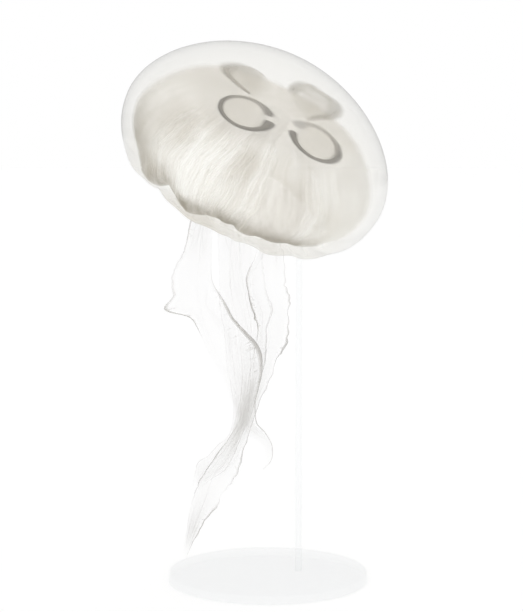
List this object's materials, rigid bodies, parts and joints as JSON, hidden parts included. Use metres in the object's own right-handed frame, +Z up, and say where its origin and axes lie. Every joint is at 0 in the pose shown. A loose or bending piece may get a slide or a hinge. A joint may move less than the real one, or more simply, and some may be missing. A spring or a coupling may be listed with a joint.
{
  "type": "moon jellyfish",
  "caption": "Moon jellyfish in a swimming pose, with its domed bell leaning to one side and frilled oral arms trailing, held as a still museum model by a clear display stand.",
  "frame": {"origin": "centre of the underside of the display stand's base", "axes": "+Z up; +X to the viewer's right and +Y away from the viewer; the bell's crown leans to +X and -Y"},
  "size_m": [0.1896, 0.1927, 0.3881],
  "materials": {
    "jelly": "clear wet jelly with a faint warm tint",
    "gastric": "milky film",
    "gonad": "soft taupe tissue, finely folded",
    "sense_organ": "small tan clubs",
    "arm_film": "thin milky film, frilled at its edges",
    "clear_acrylic": "polished clear acrylic"
  },
  "bodies": {
    "root": {"bell_crown": "jelly", "bell_octant_1": "jelly", "bell_octant_2": "jelly", "bell_octant_3": "jelly", "bell_octant_4": "jelly", "bell_octant_5": "jelly", "bell_octant_6": "jelly", "bell_octant_7": "jelly", "bell_octant_8": "jelly", "margin_lobe_1": "jelly", "margin_lobe_2": "jelly", "margin_lobe_3": "jelly", "margin_lobe_4": "jelly", "margin_lobe_5": "jelly", "margin_lobe_6": "jelly", "margin_lobe_7": "jelly", "margin_lobe_8": "jelly", "rhopalium_1": "sense_organ", "rhopalium_2": "sense_organ", "rhopalium_3": "sense_organ", "rhopalium_4": "sense_organ", "rhopalium_5": "sense_organ", "rhopalium_6": "sense_organ", "rhopalium_7": "sense_organ", "rhopalium_8": "sense_organ", "stomach": "gastric", "gastric_pouch_1": "gastric", "gastric_pouch_2": "gastric", "gastric_pouch_3": "gastric", "gastric_pouch_4": "gastric", "gonad_1": "gonad", "gonad_2": "gonad", "gonad_3": "gonad", "gonad_4": "gonad", "manubrium": "arm_film", "oral_arm_left_upper": "arm_film", "oral_arm_left_middle": "arm_film", "oral_arm_left_lower": "arm_film", "oral_arm_right_upper": "arm_film", "oral_arm_right_middle": "arm_film", "oral_arm_right_lower": "arm_film", "oral_arm_front_upper": "arm_film", "oral_arm_front_middle": "arm_film", "oral_arm_front_lower": "arm_film", "oral_arm_back_upper": "arm_film", "oral_arm_back_middle": "arm_film", "oral_arm_back_lower": "arm_film", "stand_base": "clear_acrylic", "stand_rod": "clear_acrylic", "stand_pad": "clear_acrylic"}
  },
  "joints": []
}
